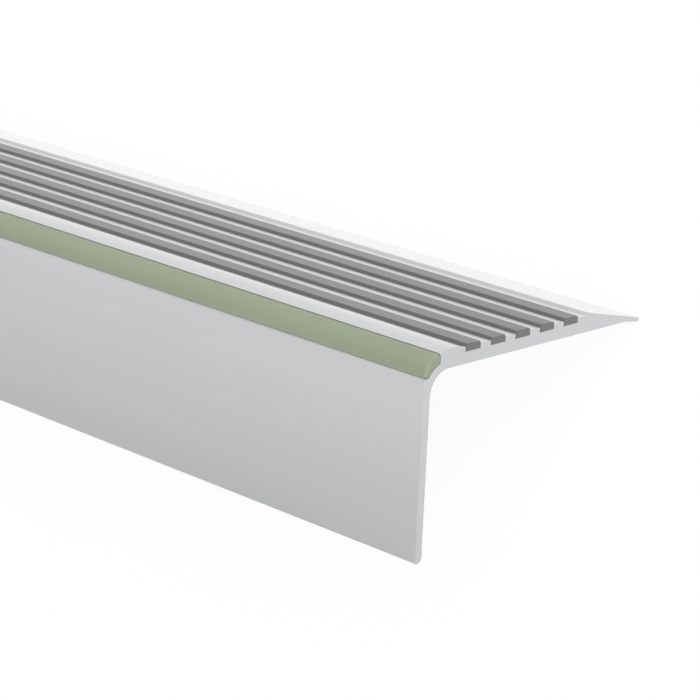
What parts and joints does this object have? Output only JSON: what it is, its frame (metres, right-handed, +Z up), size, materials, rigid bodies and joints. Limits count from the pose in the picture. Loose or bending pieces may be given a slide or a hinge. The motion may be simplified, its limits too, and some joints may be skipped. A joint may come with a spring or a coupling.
{
  "type": "stair nosing",
  "caption": "L-shaped plastic stair nosing with dark grip strips along its tread, a luminous strip round its nose and a thin tail; it covers and marks the edge of a step.",
  "frame": {"origin": "on the floor under the middle of the stock's box, as it lies at rest", "axes": "+X along the stock towards the cut end that the picture shows, +Y back from the riser leg's foot to the tail's tip, +Z up with the nose on top"},
  "size_m": [0.9, 0.0526, 0.0246],
  "materials": {
    "base_plastic": "light grey rigid PVC, satin as extruded",
    "luminous_plastic": "sage green photoluminescent PVC, satin",
    "grip_plastic": "dark grey soft PVC, matt"
  },
  "bodies": {
    "root": {"base_profile": "base_plastic", "luminous_strip": "luminous_plastic", "grip_strip_1": "grip_plastic", "grip_strip_2": "grip_plastic", "grip_strip_3": "grip_plastic", "grip_strip_4": "grip_plastic", "grip_strip_5": "grip_plastic"}
  },
  "joints": []
}
